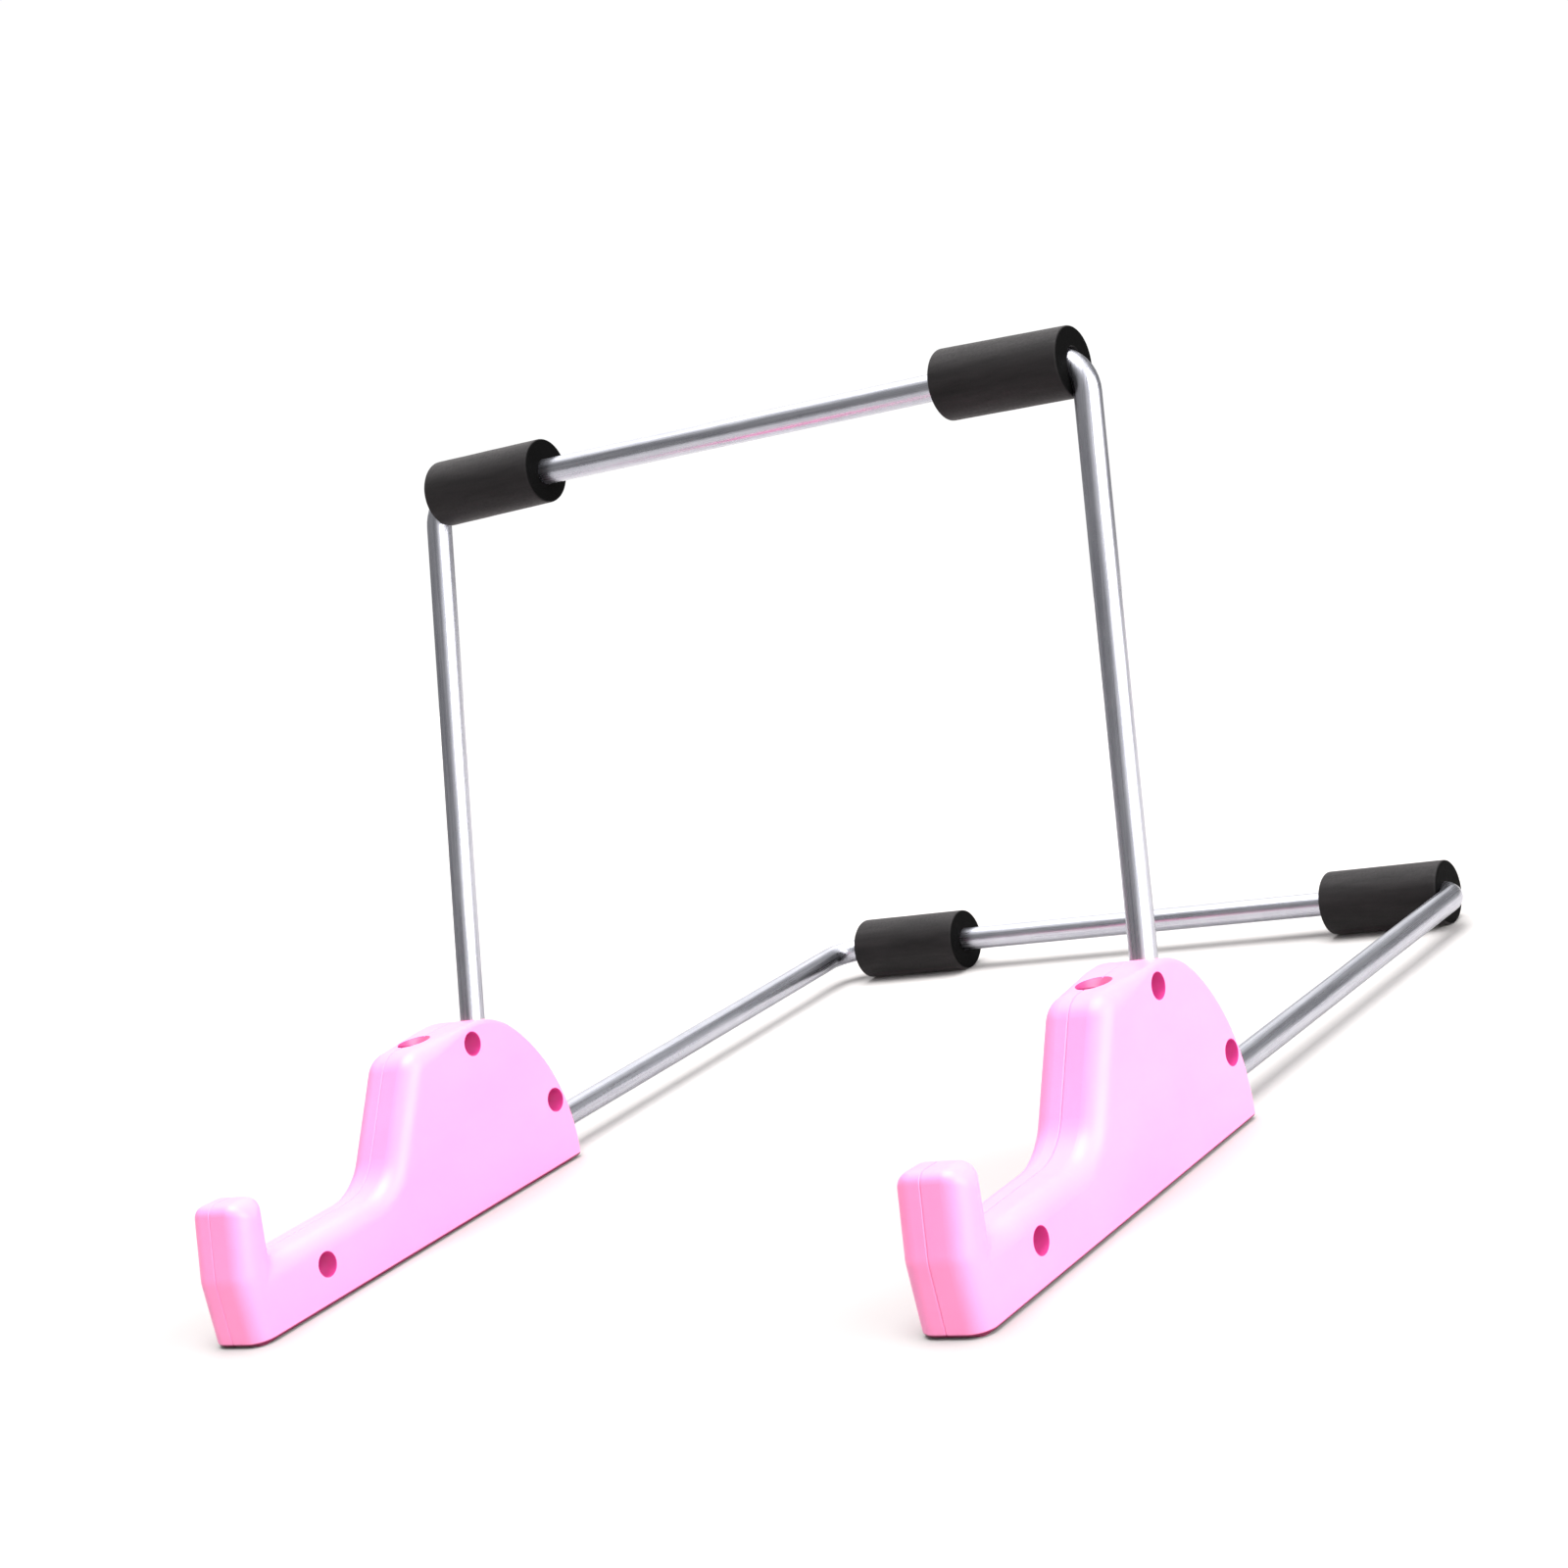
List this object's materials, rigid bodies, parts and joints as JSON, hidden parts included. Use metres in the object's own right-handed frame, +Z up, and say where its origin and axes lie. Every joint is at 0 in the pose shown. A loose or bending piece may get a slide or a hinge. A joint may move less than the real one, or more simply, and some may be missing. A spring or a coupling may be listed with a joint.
{
  "type": "desk stand",
  "caption": "Knock-down desk stand: hooked moulded feet plugged onto an upright and a rear U-shaped rod with foam sleeves; it holds a tablet, laptop or book leaning back.",
  "frame": {"origin": "on the table, in the middle of the stand's length and width", "axes": "+Z up, +Y from the hooks towards the rear bar, +X across, to the right for someone facing the hooks' open side from the front"},
  "size_m": [0.2, 0.2654, 0.1709],
  "materials": {
    "shell_plastic": "satin moulded",
    "rod_aluminium": "drawn, satin",
    "sleeve_foam": "matt closed-cell foam",
    "screw_steel": "zinc plated"
  },
  "bodies": {
    "feet": {"left_foot_outer_half": "shell_plastic", "left_foot_inner_half": "shell_plastic", "left_foot_front_screw": "screw_steel", "left_foot_top_screw": "screw_steel", "left_foot_rear_screw": "screw_steel", "right_foot_outer_half": "shell_plastic", "right_foot_inner_half": "shell_plastic", "right_foot_front_screw": "screw_steel", "right_foot_top_screw": "screw_steel", "right_foot_rear_screw": "screw_steel"},
    "upright": {"upright_rod": "rod_aluminium"},
    "rear": {"rear_rod": "rod_aluminium"},
    "top_left_foam": {"top_left_sleeve": "sleeve_foam"},
    "top_right_foam": {"top_right_sleeve": "sleeve_foam"},
    "rear_left_foam": {"rear_left_sleeve": "sleeve_foam"},
    "rear_right_foam": {"rear_right_sleeve": "sleeve_foam"}
  },
  "joints": [
    {"name": "upright_pull", "type": "slide", "parent": "feet", "child": "upright", "axis": [0, 0.279, 0.9603], "range_m": [0, 0.035]},
    {"name": "rear_pull", "type": "slide", "parent": "feet", "child": "rear", "axis": [0, 1, 0], "range_m": [0, 0.038]},
    {"name": "top_left_foam_slide", "type": "slide", "parent": "upright", "child": "top_left_foam", "axis": [1, 0, 0], "range_m": [0, 0.048]},
    {"name": "top_right_foam_slide", "type": "slide", "parent": "upright", "child": "top_right_foam", "axis": [-1, 0, 0], "range_m": [0, 0.048]},
    {"name": "rear_left_foam_slide", "type": "slide", "parent": "rear", "child": "rear_left_foam", "axis": [1, 0, 0], "range_m": [0, 0.048]},
    {"name": "rear_right_foam_slide", "type": "slide", "parent": "rear", "child": "rear_right_foam", "axis": [-1, 0, 0], "range_m": [0, 0.048]}
  ]
}
